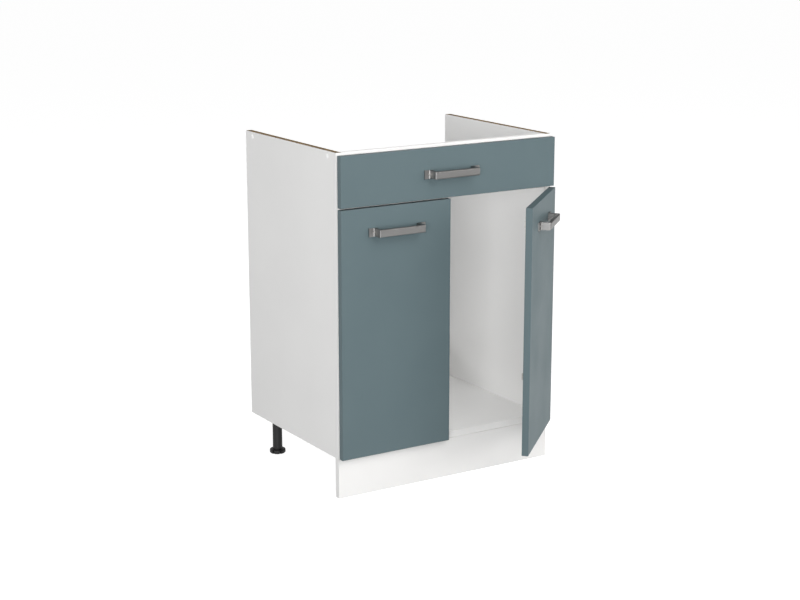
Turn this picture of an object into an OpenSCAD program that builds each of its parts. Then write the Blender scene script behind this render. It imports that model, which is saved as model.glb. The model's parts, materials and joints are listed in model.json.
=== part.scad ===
// Sink base cabinet, 600 mm wide, in millimetres.
// X runs to the right, Y to the back and Z up. The origin lies on the floor, at the middle of the
// width, in the plane of the carcass's front edges.

/* [Carcass] */
// Width over both side panels
unit_w = 600; // [500:10:900]
// Height of the side panels
carcass_h = 720; // [700:1:800]
// Depth of the side panels
carcass_d = 440; // [380:5:560]
// Thickness of the carcass boards
board_t = 16; // [16:0.5:19]
// Height of the carcass above the floor
leg_h = 96; // [90:1:130]
// Height of the upright front rail
front_rail_h = 100; // [90:1:120]
// Height of the low rear rail
rear_rail_h = 100; // [80:1:200]

/* [Fronts] */
// Thickness of the doors and the false drawer front
front_t = 16; // [16:0.5:19]
// Gap between the carcass and the backs of the fronts
front_stand = 2.5; // [2.4:0.1:2.8]
// Step from the carcass's side to the edge of the fronts
side_reveal = 2; // [1.8:0.1:2.2]
// Step from the carcass's top to the top of the drawer front
top_reveal = 6; // [3:0.5:8]
// Gap between neighbouring fronts
front_gap = 4; // [3:0.5:6]
// Height of the false drawer front
drawer_front_h = 119; // [112:1:125]
// Step from the carcass's underside to the bottom edge of the doors
bottom_reveal = 1; // [0.5:0.5:3]
// Angle by which the right door stands open
door_open = 43; // [0:1:90]
// Radius of the rounded edges of the fronts
front_round = 1; // [0.5:0.1:1.5]

/* [Handles] */
// Distance between the two screws of a handle
handle_spacing = 128; // [96:1:160]
// Distance of a leg's outer face outside its screw
handle_leg_out = 0.3; // [0:0.1:2]
// Reach of a handle in front of the board
handle_reach = 28; // [24:1:35]
// Height of the grip bar
handle_bar_h = 18; // [14:1:20]
// Thickness of the grip bar
handle_bar_t = 7; // [5:0.5:8]
// Thickness of the legs of a handle
handle_leg_t = 8; // [7:0.5:9]
// Radius of the outer corners of a handle
handle_corner_r = 7; // [4:0.5:9]
// How far each foot spreads past its leg
handle_foot_spread = 7.3; // [6:0.1:9]
// Height of the feet of a handle
handle_foot_h = 20; // [20:0.5:24]
// Thickness of the feet of a handle
handle_foot_t = 3; // [2:0.5:4]
// Length of the slope from a handle's foot to its leg
handle_shoulder = 2; // [1:0.5:3]
// Radius of the inner corners of a handle
handle_inner_r = 2; // [1:0.5:3]
// Distance of the drawer handle below the top of its front
drawer_handle_drop = 60; // [50:1:65]
// Distance of a door handle below the top of its door
door_handle_drop = 57; // [40:1:90]

/* [Screws and dowels] */
// Diameter of the handle screws
handle_screw_d = 4; // [3.5:0.1:4.5]
// Diameter of the heads of the handle screws
handle_screw_head_d = 8; // [7:0.5:9]
// How deep the handle screws go into the handle
handle_screw_grip = 4.5; // [4:0.5:4.5]
// Diameter of the wood screws
wood_screw_d = 3.5; // [3:0.1:4]
// Diameter of the heads of the wood screws
wood_screw_head_d = 7; // [6:0.5:8]
// Height of all screw heads
screw_head_h = 1.8; // [1.5:0.1:2]
// How deep the wood screws go into a board
wood_screw_grip = 11; // [9:0.5:12]
// Diameter of the dowels
dowel_d = 8; // [6:0.5:8]
// Length of the dowels
dowel_l = 30; // [25:1:40]
// Depth of the holes in the side panels
panel_hole_depth = 12; // [11:0.5:13]
// Diameter of the cam locks
cam_d = 15; // [12:0.5:15]
// Height of the cam locks
cam_h = 12.5; // [11.5:0.5:13]
// Distance of a cam's axis from the end of its board
cam_reach = 24; // [20:1:34]
// Diameter of the cam bolts
cam_bolt_d = 7; // [6:0.5:7]
// Distance of the bottom panel's cams from its front and back
cam_inset = 120; // [115:1:150]
// Distance of the bottom panel's dowels from its front and back
dowel_inset = 88; // [85:1:95]
// Distance of a rail's cam and dowel from the rail's edges
rail_joint_inset = 30; // [20:1:32]
// Distance between the two screws on each side of the drawer front, measured upright
front_screw_rise = 50; // [40:1:55]
// Distance of the drawer front's screws from the middle of the unit
front_screw_x = 220; // [150:1:230]
// Distance of the upper drawer front screws below the carcass's top
front_screw_drop = 26; // [24:1:30]
// Diameter of the spacer discs
spacer_d = 20; // [16:1:24]

/* [Cover caps] */
// Diameter of a cover cap
cap_d = 12; // [10:0.5:14]
// Height of a cover cap over the panel
cap_h = 1.5; // [1:0.1:2.5]
// Diameter of a cap's stem
cap_stem_d = 6; // [4:0.5:7]
// Length of a cap's stem
cap_stem_l = 10; // [6:0.5:12]
// Distance of the caps below the carcass's top
cap_drop = 12; // [10:0.5:15]
// Distance of the front caps from the front edge
cap_front_y = 38; // [30:1:45]
// Distance of the rear caps from the back edge
cap_back_y = 35; // [30:1:45]

/* [Feet] */
// Distance of the rear feet from the outer sides
rear_foot_inset = 39.3; // [37:0.1:42]
// Distance of the front feet from the outer sides
front_foot_inset = 62; // [55:1:90]
// Distance of the feet from the front and the back
foot_inset_y = 63; // [58:1:70]
// Diameter of a leg column
column_d = 24.5; // [24:0.5:27]
// Diameter of the bore in a leg column
column_bore_d = 18.6; // [18:0.1:19.5]
// Diameter of a foot's base
foot_base_d = 40; // [38:1:46]
// Height of a foot's base
foot_base_h = 10.5; // [9:0.5:12]
// Number of lobes round a foot's base
foot_lobes = 8; // [6:1:12]
// Diameter of the notches between the lobes
foot_notch_d = 5; // [3:0.5:6]
// Length of a foot's spindle above the base
spindle_l = 52; // [40:1:55]
// Travel of a foot when it is screwed out
foot_travel = 20; // [10:1:25]
// Diameter of a socket's flange
socket_flange_d = 58; // [56:1:62]
// Thickness of a socket's flange
socket_flange_t = 4; // [3:0.5:5]
// Diameter of a socket's collar
socket_collar_d = 31; // [30:0.5:33]
// Length of a socket's collar below its flange
socket_collar_l = 8; // [6:0.5:10]
// Distance of a socket's screws from its axis
socket_screw_r = 22.5; // [22:0.5:24]

/* [Plinth] */
// Height of the plinth
plinth_h = 91; // [80:1:91]
// Thickness of the plinth
plinth_t = 16; // [12:0.5:19]
// Width of a plinth clip
clip_w = 34; // [30:1:40]
// Height of a plinth clip
clip_h = 20; // [14:1:26]
// Thickness of a clip's back plate
clip_plate_t = 3; // [2:0.5:4]
// Thickness of a clip's jaw
clip_jaw_t = 3; // [2:0.5:4]
// Height of the clips' middle above the floor
clip_z = 50; // [35:1:60]

/* [Cup hinges] */
// Diameter of the cup's bore in a door
cup_bore_d = 35; // [34.5:0.1:35.5]
// Depth of the cup's bore in a door
cup_bore_depth = 12.6; // [12.2:0.1:13]
// Wood left between the cup's bore and the door's edge
cup_edge = 3; // [2.8:0.1:3.2]
// Wall of the cup
cup_wall = 0.8; // [0.6:0.1:0.9]
// Distance of each hinge from the door's top and bottom
hinge_inset = 100; // [70:1:140]
// Distance between a cup's two screws
cup_screw_spacing = 48; // [48:0.5:52]
// Step from the cup's middle to its screws, away from the door's edge
cup_screw_step = 6; // [4:0.5:9]
// Width of a cup's wings at their screws
wing_w = 11; // [10:0.5:12]
// Width of the cup's rim round its bore
cup_rim = 2; // [1.5:0.1:2.2]
// Drop of the cup's rim where the links pass over it
cup_rim_drop = 4; // [3.8:0.1:4.4]
// Height of the bosses that hold the cup's pins
boss_h = 6; // [5.5:0.5:6.5]
// Thickness of a cup's wings
wing_t = 1; // [0.8:0.1:1.2]
// Diameter of all hinge pins
pin_d = 2; // [1.8:0.1:2.1]
// Distance of the outer link's arm pin from the side panel
outer_pivot_in = 28; // [27.9:0.1:28.1]
// Distance of the outer link's arm pin behind the carcass's front
outer_pivot_back = 0.5; // [0.4:0.1:0.7]
// Distance of the inner link's arm pin from the side panel
inner_pivot_in = 7.3; // [7.2:0.1:7.4]
// Distance of the inner link's arm pin in front of the carcass
inner_pivot_front = 9; // [8.9:0.1:9.1]
// Distance of the outer link's cup pin from the door's edge
outer_pin_in = 9.5; // [9.4:0.1:9.6]
// Depth of the outer link's cup pin below the door's back
outer_pin_depth = 0.7; // [0.6:0.1:0.8]
// Distance of the inner link's cup pin from the door's edge
inner_pin_in = 8.1; // [8.1:0.1:8.3]
// Depth of the inner link's cup pin below the door's back
inner_pin_depth = 4.95; // [4.9:0.05:5.1]
// Bend of the outer link, measured from its arm pin along the front
outer_bend_in = 16; // [15.9:0.1:16.1]
// Bend of the outer link, measured from its arm pin towards the front
outer_bend_out = 0.2; // [0.1:0.1:0.3]
// Bend of the inner link, measured from its arm pin along the front
inner_bend_in = 7.3; // [7.2:0.1:7.4]
// Bend of the inner link, measured from its arm pin towards the front
inner_bend_out = 2.85; // [2.8:0.05:2.9]
// Step of the open eye's middle from its pin along the front, for even play over the travel
open_eye_in = 0.53; // [0.52:0.01:0.54]
// Step of the open eye's middle from its pin towards the back
open_eye_back = 0.19; // [0.18:0.01:0.2]
// Turn of the outer link for each degree of the door
outer_turn = -0.385; // [-0.387:0.001:-0.383]
// Turn of the inner link for each degree of the door
inner_turn = -0.675; // [-0.677:0.001:-0.673]
// Half height of the arm's finger between the inner link's two sheets
finger_z = 2; // [1.9:0.1:2.1]
// Thickness of the links' sheets
link_sheet = 1.6; // [1.5:0.1:1.7]
// Step between the hinge's layers where the next one passes
layer_step = 0.4; // [0.3:0.1:0.5]
// Half height of the arm
arm_z = 8.5; // [8.4:0.1:8.8]
// Thickness of the arm's sheet
arm_sheet = 1.4; // [1.2:0.1:1.6]
// Width of the links between their eyes
link_w = 2.4; // [2.2:0.1:2.6]
// Diameter of the links' eyes
eye_d = 4.6; // [4.5:0.1:4.7]
// Diameter of the inner link's open eye
open_eye_d = 5.1; // [5:0.05:5.2]
// Length of a mounting plate along the panel
plate_l = 34; // [30:1:40]
// Height of a mounting plate off the panel
plate_h = 16; // [15.5:0.1:16.5]
// Thickness of a mounting plate's wings
plate_wing_t = 2; // [1.5:0.5:3]
// Width of a mounting plate's wings
plate_wing_w = 17; // [14:1:20]
// How far a mounting plate's wings reach past its screws
plate_wing_end = 8; // [7:0.5:9]
// Distance of the plate's screws from the carcass's front
plate_screw_y = 37; // [36:0.5:38]
// Distance between a plate's two screws
plate_screw_spacing = 32; // [30:0.5:34]
// Diameter of the plate's screws
plate_screw_d = 5; // [4.5:0.1:6]
// Diameter of the heads of the plate's screws
plate_screw_head_d = 8.5; // [8:0.5:9]
// Diameter of the arm's adjusting screws
adjust_screw_d = 4; // [3.5:0.5:4.5]
// Diameter of the heads of the adjusting screws
adjust_screw_head_d = 7; // [6:0.5:8]
// Length of the adjusting screws below the arm
adjust_screw_l = 11; // [9:0.5:12]
// Distance of the front adjusting screw from the plate's screws, forwards
adjust_front = 7; // [6:0.5:8]
// Distance of the rear adjusting screw from the plate's screws, backwards
adjust_rear = 9; // [8:0.5:10]
// Overhang of the arm behind its plate
arm_overhang = 3; // [2:0.5:5]
// Depth of the arm's cheeks over the plate
arm_cheek = 9; // [7:0.5:10]
// Distance of the arm's nose from the carcass's front
nose_y = 8; // [7.8:0.1:8.2]
// Thickness of the arm's nose
nose_depth = 6; // [5.5:0.5:6.5]
// Drop of the nose below the arm's web
nose_drop = 4; // [3.5:0.5:4.5]
// Diameter of a bumper
bumper_d = 8; // [6:0.5:10]
// Gap between a bumper and the carcass
bumper_gap = 0.2; // [0.15:0.05:0.3]
// Distance of the outer bumper from the door's free edge
bumper_in = 20; // [15:1:30]

/* [Fits] */
// Clearance across a hole for a screw, pin or plug that stays put
fit_gap = 0.1; // [0.1:0.02:0.2]
// Clearance across a hinge pin that turns
pin_gap = 0.1; // [0.06:0.02:0.16]
// Clearance across the open hinge pin at the inner link's far end
open_pin_gap = 1.3; // [1.3:0.05:1.4]
// Gap between flat faces that slide past each other
slide_gap = 0.2; // [0.15:0.05:0.25]
// Spare depth of a blind hole past the end of what goes in
hole_spare = 0.5; // [0.2:0.1:0.8]
// Clearance across a cam bolt's channel in its board
channel_gap = 1; // [0.6:0.1:1.4]
// Clearance across a foot's spindle in its column
spindle_gap = 0.6; // [0.2:0.1:0.8]

/* [Hidden] */
$fn = 48;
// Length by which a cut runs past the face that it opens
over = 1;
LEFT = -1;
RIGHT = 1;
// Colours
WHITE = [0.93, 0.93, 0.92];
BLUE_GREY = [0.42, 0.50, 0.52];
STEEL = [0.70, 0.70, 0.70];
BRUSHED = [0.58, 0.57, 0.56];
BLACK = [0.10, 0.10, 0.10];
BEECH = [0.80, 0.66, 0.46];
ZINC = [0.62, 0.62, 0.64];
// Places of the main planes and edges
panel_x = unit_w / 2 - board_t;
carcass_top = leg_h + carcass_h;
inner_w = unit_w - 2 * board_t;
front_back_y = -front_stand;
front_face_y = -front_stand - front_t;
front_edge_x = unit_w / 2 - side_reveal;
drawer_top = carcass_top - top_reveal;
door_top = drawer_top - drawer_front_h - front_gap;
door_bottom = leg_h + bottom_reveal;
door_h = door_top - door_bottom;
door_w = front_edge_x - front_gap / 2;
door_mid_x = (front_edge_x + front_gap / 2) / 2;
handle_screw_x = handle_spacing / 2;
front_foot = [unit_w / 2 - front_foot_inset, foot_inset_y];
rear_foot = [unit_w / 2 - rear_foot_inset, carcass_d - foot_inset_y];
drawer_handle_z = drawer_top - drawer_handle_drop;
door_handle_z = door_top - door_handle_drop;
hinge_zs = [door_bottom + hinge_inset, door_top - hinge_inset];
cup_x = front_edge_x - cup_edge - cup_bore_d / 2;
cap_ys = [cap_front_y, carcass_d - cap_back_y];
board_mid = board_t / 2;
// Cam joints between boards and side panels: place along Y, height, turn of the cam's face
CAM_JOINTS = [
    [cam_inset, leg_h + board_mid, 180],
    [carcass_d - cam_inset, leg_h + board_mid, 180],
    [board_mid, carcass_top - front_rail_h + rail_joint_inset, -90],
    [carcass_d - board_mid, leg_h + board_t + rail_joint_inset, -90]];
// Dowel joints between boards and side panels: place along Y and height
DOWEL_JOINTS = [
    [dowel_inset, leg_h + board_mid, 0],
    [carcass_d - dowel_inset, leg_h + board_mid, 0],
    [board_mid, carcass_top - rail_joint_inset, 0],
    [carcass_d - board_mid, leg_h + board_t + rear_rail_h - rail_joint_inset, 0]];
// Hinge pins in plan, on the right, with the door shut
ARM_A = [panel_x - outer_pivot_in, outer_pivot_back];
ARM_B = [panel_x - inner_pivot_in, -inner_pivot_front];
CUP_C = [front_edge_x - outer_pin_in, front_back_y - outer_pin_depth];
CUP_D = [front_edge_x - inner_pin_in, front_back_y - inner_pin_depth];
OPEN_EYE = CUP_D + [open_eye_in, open_eye_back];
// Bends of the two links in plan
OUTER_BEND = ARM_A + [outer_bend_in, -outer_bend_out];
INNER_BEND = ARM_B + [inner_bend_in, -inner_bend_out];
// Half heights of the hinge's layers, from the finger in the middle outwards
inner_link_z = finger_z + slide_gap + link_sheet;
tongue_z = inner_link_z + layer_step;
outer_link_z = tongue_z + slide_gap + link_sheet;
boss_z = outer_link_z + layer_step;
// Edges of the hinge's plate and arm
plate_front_y = plate_screw_y - plate_l / 2;
plate_top_x = panel_x - plate_h;
arm_back_y = plate_screw_y + plate_l / 2 + arm_overhang;
plinth_back_y = front_back_y + plinth_t;
bumper_t = front_stand - bumper_gap;

// Turns a plan point by an angle
function turned(v, a) = [v[0] * cos(a) - v[1] * sin(a), v[0] * sin(a) + v[1] * cos(a)];
// Opening angle of the door on a side
function opening(side) = side == RIGHT ? door_open : 0;

// Draws right-hand pieces on either side
module at_side(side) {
    if (side == RIGHT) children();
    else mirror([1, 0, 0]) children();
}

// Turns children about an upright axis through a plan point
module turned_about(p, a) {
    translate([p[0], p[1], 0]) rotate([0, 0, a]) translate([-p[0], -p[1], 0]) children();
}

// Carries children with the door on a side: pin C swings about pin A, and the door turns on pin C
module with_door(side) {
    a = opening(side);
    c = ARM_A + turned(CUP_C - ARM_A, outer_turn * a);
    at_side(side) translate([c[0], c[1], 0]) rotate([0, 0, a]) translate([-CUP_C[0], -CUP_C[1], 0])
        children();
}

// Repeats children at both hinge heights
module at_hinges() {
    for (z = hinge_zs) translate([0, 0, z]) children();
}

// Draws children once at every board joint in a list, with +X pointing into the side panel
module at_joints(joints) {
    for (side = [LEFT, RIGHT]) for (j = joints)
        at_side(side) translate([panel_x, j[0], j[1]]) rotate([j[2], 0, 0]) children();
}

// Cylinder along +X from the origin
module rod_x(d, l) {
    rotate([0, 90, 0]) cylinder(d = d, h = l);
}

// Cylinder along +Y from the origin
module rod_y(d, l) {
    rotate([-90, 0, 0]) cylinder(d = d, h = l);
}

// Cylinder along Z, centred on the hinge's middle plane
module rod_mid(p, d, half) {
    translate([p[0], p[1], 0]) cylinder(d = d, h = 2 * half, center = true);
}

// Rectangle with rounded corners, centred
module round_rect(w, h, r) {
    square([w - 2 * r, h], center = true);
    square([w, h - 2 * r], center = true);
    for (x = [-1, 1]) for (y = [-1, 1])
        translate([x * (w / 2 - r), y * (h / 2 - r)]) circle(r = r);
}

// Straight bar with round ends between two plan points
module bar(p, q, w) {
    d = q - p;
    translate(p) rotate(atan2(d[1], d[0])) translate([0, -w / 2]) square([norm(d), w]);
    translate(p) circle(d = w);
    translate(q) circle(d = w);
}

// Plan outline made solid over a layer from one half height to another, on both sides
module layers(from, to) {
    for (up = [0, 1]) mirror([0, 0, up]) translate([0, 0, from]) linear_extrude(to - from) children();
}

// Plan outline made solid through the middle
module middle(half) {
    linear_extrude(2 * half, center = true) children();
}

// Board of a front with all edges rounded: middle of its width, bottom and height
module front_board(mid_x, w, bottom, h) {
    intersection() {
        translate([mid_x, front_back_y - front_t / 2, bottom]) linear_extrude(h)
            round_rect(w, front_t, front_round);
        translate([mid_x, front_back_y - front_t / 2, bottom + h / 2]) rotate([90, 0, 90])
            linear_extrude(w, center = true) round_rect(front_t, h, front_round);
    }
}

// Screw along +Y: head at y below zero, shank from zero
module screw_y(d, l, head_d) {
    translate([0, -screw_head_h, 0]) difference() {
        rod_y(head_d, screw_head_h);
        for (a = [0, 90]) rotate([0, a, 0]) translate([-head_d * 0.3, -over, -head_d * 0.07])
            cube([head_d * 0.6, over + screw_head_h * 0.45, head_d * 0.14]);
    }
    rod_y(d, l);
}

// Carcass

// Cuts that a cam joint needs in the board: channel for the bolt and pocket for the cam
module cam_joint_cut() {
    translate([-cam_reach, 0, 0]) rod_x(cam_bolt_d + channel_gap, cam_reach + over);
    translate([-cam_reach, 0, board_mid - cam_h]) cylinder(d = cam_d + fit_gap, h = cam_h + over);
}

// Hole that a dowel needs in the board
module dowel_joint_cut() {
    depth = dowel_l - panel_hole_depth + 2 * hole_spare;
    translate([-depth, 0, 0]) rod_x(dowel_d + fit_gap, depth + over);
}

// Cuts of all board joints in the boards between the side panels
module joint_cuts() {
    at_joints(CAM_JOINTS) cam_joint_cut();
    at_joints(DOWEL_JOINTS) dowel_joint_cut();
}

// Blind hole from a side panel's inner face
module panel_hole(d) {
    translate([-over, 0, 0]) rod_x(d + fit_gap, panel_hole_depth + over);
}

module side_panel(side) {
    color(WHITE) difference() {
        at_side(side) translate([panel_x, 0, leg_h]) cube([board_t, carcass_d, carcass_h]);
        at_joints(CAM_JOINTS) panel_hole(cam_bolt_d);
        at_joints(DOWEL_JOINTS) panel_hole(dowel_d);
        at_side(side) at_plate_screws() panel_hole(plate_screw_d);
        at_side(side) for (y = cap_ys)
            translate([unit_w / 2 - cap_stem_l - hole_spare, y, carcass_top - cap_drop])
                rod_x(cap_stem_d + fit_gap, cap_stem_l + hole_spare + over);
    }
}

module bottom_panel() {
    color(WHITE) difference() {
        translate([-inner_w / 2, 0, leg_h]) cube([inner_w, carcass_d, board_t]);
        joint_cuts();
        at_socket_screws() translate([0, 0, -over])
            cylinder(d = wood_screw_d + fit_gap, h = wood_screw_grip + hole_spare + over);
    }
}

module front_rail() {
    color(WHITE) difference() {
        translate([-inner_w / 2, 0, carcass_top - front_rail_h])
            cube([inner_w, board_t, front_rail_h]);
        joint_cuts();
        at_front_screws() translate([0, -over, 0]) rod_y(wood_screw_d + fit_gap, board_t + 2 * over);
    }
}

module rear_rail() {
    color(WHITE) difference() {
        translate([-inner_w / 2, carcass_d - board_t, leg_h + board_t])
            cube([inner_w, board_t, rear_rail_h]);
        joint_cuts();
    }
}

module dowels() {
    flute_d = dowel_d / 10;
    color(BEECH) at_joints(DOWEL_JOINTS) translate([panel_hole_depth - dowel_l, 0, 0]) difference() {
        rod_x(dowel_d, dowel_l);
        for (a = [0:60:300]) rotate([a, 0, 0]) translate([-over, 0, dowel_d / 2])
            rod_x(flute_d, dowel_l + 2 * over);
    }
}

module cam_locks() {
    color(ZINC) at_joints(CAM_JOINTS) translate([-cam_reach, 0, board_mid - cam_h]) difference() {
        cylinder(d = cam_d, h = cam_h);
        translate([-cam_bolt_d / 2, 0, cam_h - board_mid]) rod_x(cam_bolt_d + channel_gap, cam_d);
        for (a = [0, 90]) rotate([0, 0, a]) translate([-cam_d * 0.3, -cam_d * 0.06, cam_h * 0.84])
            cube([cam_d * 0.6, cam_d * 0.12, cam_h]);
    }
}

// Bolt of a cam joint, turned from one profile: head, neck, collar and the part in the panel
module cam_bolts() {
    head_l = cam_bolt_d * 0.4;
    collar_l = cam_reach - cam_d / 2 - channel_gap;
    color(ZINC) at_joints(CAM_JOINTS) translate([-cam_reach, 0, 0]) rotate([0, 90, 0])
        rotate_extrude() polygon([[0, 0], [cam_bolt_d * 0.3, 0], [cam_bolt_d * 0.45, head_l * 0.4],
            [cam_bolt_d * 0.45, head_l], [cam_bolt_d * 0.28, head_l],
            [cam_bolt_d * 0.28, cam_reach - collar_l], [cam_bolt_d * 0.43, cam_reach - collar_l],
            [cam_bolt_d * 0.43, cam_reach], [cam_bolt_d * 0.5, cam_reach],
            [cam_bolt_d * 0.5, cam_reach + panel_hole_depth], [0, cam_reach + panel_hole_depth]]);
}

module cover_caps() {
    color(WHITE) for (side = [LEFT, RIGHT]) for (y = cap_ys) at_side(side)
        translate([unit_w / 2, y, carcass_top - cap_drop]) rotate([0, 90, 0]) {
            rotate_extrude() intersection() {
                translate([0, cap_h - cap_d]) circle(r = cap_d, $fn = 96);
                square([cap_d / 2, cap_h]);
            }
            translate([0, 0, -cap_stem_l]) cylinder(d = cap_stem_d, h = cap_stem_l + cap_h / 2);
        }
}

// False drawer front

module at_front_screws() {
    for (x = [-front_screw_x, front_screw_x]) for (z = [0, front_screw_rise])
        translate([x, 0, carcass_top - front_screw_drop - z]) children();
}

// Blind hole for a wood screw, in the back of a front or of the plinth
module front_hole() {
    depth = wood_screw_grip + hole_spare;
    translate([0, -depth, 0]) rod_y(wood_screw_d + fit_gap, depth + over);
}

module drawer_front() {
    color(BLUE_GREY) difference() {
        front_board(0, 2 * front_edge_x, drawer_top - drawer_front_h, drawer_front_h);
        at_front_screws() translate([0, front_back_y, 0]) front_hole();
        at_handle_screws(0, drawer_handle_z) rod_y(handle_screw_d + fit_gap, front_t + 2 * over);
    }
}

module front_spacers() {
    color(BLACK) at_front_screws() translate([0, front_back_y, 0]) difference() {
        rod_y(spacer_d, front_stand);
        translate([0, -over, 0]) rod_y(wood_screw_d + fit_gap, front_stand + 2 * over);
    }
}

module front_screws() {
    color(STEEL) at_front_screws() translate([0, board_t, 0]) rotate([0, 0, 180])
        screw_y(wood_screw_d, board_t + front_stand + wood_screw_grip, wood_screw_head_d);
}

// Handles

// Places for a handle's two screws, at the front face, pointing back
module at_handle_screws(mid_x, z) {
    for (side = [-1, 1]) translate([mid_x + side * handle_screw_x, front_face_y - over, z]) children();
}

// Half of a handle's plan outline, drawn with the board's face at y = 0 and the grip at +y
module handle_half() {
    leg_out = handle_screw_x + handle_leg_out;
    foot_out = leg_out + handle_foot_spread;
    leg_in = leg_out - handle_leg_t;
    grip_back = handle_reach - handle_bar_t;
    difference() {
        union() {
            square([leg_out, handle_reach - handle_corner_r]);
            translate([0, handle_reach - handle_corner_r])
                square([leg_out - handle_corner_r, handle_corner_r]);
            translate([leg_out - handle_corner_r, handle_reach - handle_corner_r])
                circle(r = handle_corner_r);
            square([foot_out, handle_foot_t + handle_foot_spread]);
        }
        translate([foot_out, handle_foot_t + handle_foot_spread]) circle(r = handle_foot_spread);
        translate([-over, -over]) square([leg_in - handle_inner_r + over, grip_back + over]);
        translate([-over, -over]) square([leg_in + over, grip_back - handle_inner_r + over]);
        translate([leg_in - handle_inner_r, grip_back - handle_inner_r]) circle(r = handle_inner_r);
    }
}

// Side outline of a handle: full height at the feet, sloping shoulders, bar height from there on
module handle_side() {
    foot = handle_foot_h / 2;
    bar = handle_bar_h / 2;
    neck = handle_foot_t + handle_shoulder;
    polygon([[0, -foot], [0, foot], [handle_foot_t, foot], [neck, bar],
        [handle_reach, bar], [handle_reach, -bar], [neck, -bar], [handle_foot_t, -foot]]);
}

// Whole bow handle in front of a board, centred on mid_x and z
module bow_handle(mid_x, z) {
    color(BRUSHED) translate([mid_x, front_face_y, z]) difference() {
        intersection() {
            rotate([0, 0, 180]) linear_extrude(handle_foot_h, center = true) {
                handle_half();
                mirror([1, 0]) handle_half();
            }
            rotate([90, 0, -90]) linear_extrude(2 * handle_spacing, center = true) handle_side();
        }
        for (side = [-1, 1]) translate([side * handle_screw_x, -handle_screw_grip - hole_spare, 0])
            rod_y(handle_screw_d + fit_gap, handle_screw_grip + hole_spare + over);
    }
}

// Screws of a handle, put in from the back of the board
module handle_screws(mid_x, z) {
    color(STEEL) for (side = [-1, 1]) translate([mid_x + side * handle_screw_x, front_back_y, z])
        rotate([0, 0, 180]) screw_y(handle_screw_d, front_t + handle_screw_grip, handle_screw_head_d);
}

// Feet and plinth

module at_feet() {
    for (side = [LEFT, RIGHT]) for (place = [front_foot, rear_foot])
        translate([side * place[0], place[1], 0]) children();
}

module at_socket_screws() {
    at_feet() for (a = [45:90:315]) rotate([0, 0, a]) translate([socket_screw_r, 0, leg_h]) children();
}

module leg_sockets() {
    color(BLACK) difference() {
        at_feet() translate([0, 0, leg_h - socket_flange_t - socket_collar_l]) {
            cylinder(d = socket_collar_d, h = socket_collar_l + socket_flange_t);
            translate([0, 0, socket_collar_l]) cylinder(d = socket_flange_d, h = socket_flange_t);
        }
        at_feet() cylinder(d = column_d + fit_gap, h = leg_h + over);
        at_socket_screws() translate([0, 0, -socket_flange_t - over])
            cylinder(d = wood_screw_d + fit_gap, h = socket_flange_t + 2 * over);
    }
}

module leg_screws() {
    color(STEEL) at_socket_screws() translate([0, 0, -socket_flange_t]) rotate([90, 0, 0])
        screw_y(wood_screw_d, socket_flange_t + wood_screw_grip, wood_screw_head_d);
}

module leg_columns() {
    color(BLACK) at_feet() translate([0, 0, foot_base_h]) difference() {
        cylinder(d = column_d, h = leg_h - foot_base_h);
        translate([0, 0, -over]) cylinder(d = column_bore_d, h = spindle_l + over + 4 * hole_spare);
    }
}

// Foot on a side, at a place: lobed base and the spindle that screws into the column
module foot(side, place) {
    edge = foot_base_h / 5;
    spindle_d = column_bore_d - spindle_gap;
    color(BLACK) translate([side * place[0], place[1], 0]) {
        difference() {
            rotate_extrude() {
                square([foot_base_d / 2 - edge, foot_base_h]);
                square([foot_base_d / 2 - edge / 2, foot_base_h - edge]);
                translate([0, edge / 2]) square([foot_base_d / 2, foot_base_h - edge - edge / 2]);
                translate([foot_base_d / 2 - edge, foot_base_h - edge]) circle(r = edge);
                translate([foot_base_d / 2 - edge / 2, edge / 2]) circle(r = edge / 2);
            }
            for (i = [0:foot_lobes - 1]) rotate([0, 0, (i + 0.5) * 360 / foot_lobes])
                translate([foot_base_d / 2 + foot_notch_d * 0.15, 0, -over])
                    cylinder(d = foot_notch_d, h = foot_base_h + 2 * over);
        }
        translate([0, 0, foot_base_h / 2]) cylinder(d = spindle_d, h = foot_base_h / 2 + spindle_l);
    }
}

module plinth() {
    color(WHITE) difference() {
        translate([-unit_w / 2, front_back_y, 0]) cube([unit_w, plinth_t, plinth_h]);
        at_clip_screws() front_hole();
    }
}

module at_clip_screws() {
    for (side = [LEFT, RIGHT]) for (dx = [-1, 1])
        translate([side * front_foot[0] + dx * clip_w * 0.34, plinth_back_y, clip_z]) children();
}

module plinth_clips() {
    jaw_d = column_d + fit_gap;
    reach = foot_inset_y - plinth_back_y;
    color(BLACK) for (x = [-front_foot[0], front_foot[0]]) difference() {
        translate([x, plinth_back_y, clip_z - clip_h / 2]) {
            translate([-clip_w / 2, 0, 0]) cube([clip_w, clip_plate_t, clip_h]);
            translate([-column_d / 4, 0, 0]) cube([column_d / 2, reach, clip_h]);
            translate([0, reach, 0]) cylinder(d = jaw_d + 2 * clip_jaw_t, h = clip_h);
        }
        translate([x, foot_inset_y, 0]) cylinder(d = jaw_d, h = leg_h);
        translate([x, foot_inset_y, clip_z]) rotate([0, 0, 45]) translate([0, 0, -clip_h])
            cube([column_d, column_d, 2 * clip_h]);
        at_clip_screws() translate([0, -over, 0])
            rod_y(wood_screw_d + fit_gap, clip_plate_t + 2 * over);
    }
}

module clip_screws() {
    color(STEEL) at_clip_screws() translate([0, clip_plate_t, 0]) rotate([0, 0, 180])
        screw_y(wood_screw_d, clip_plate_t + wood_screw_grip, wood_screw_head_d);
}

// Cup hinges, drawn on the right with the door shut

module at_plate_screws() {
    at_hinges() for (z = [-1, 1])
        translate([panel_x, plate_screw_y, z * plate_screw_spacing / 2]) children();
}

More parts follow.
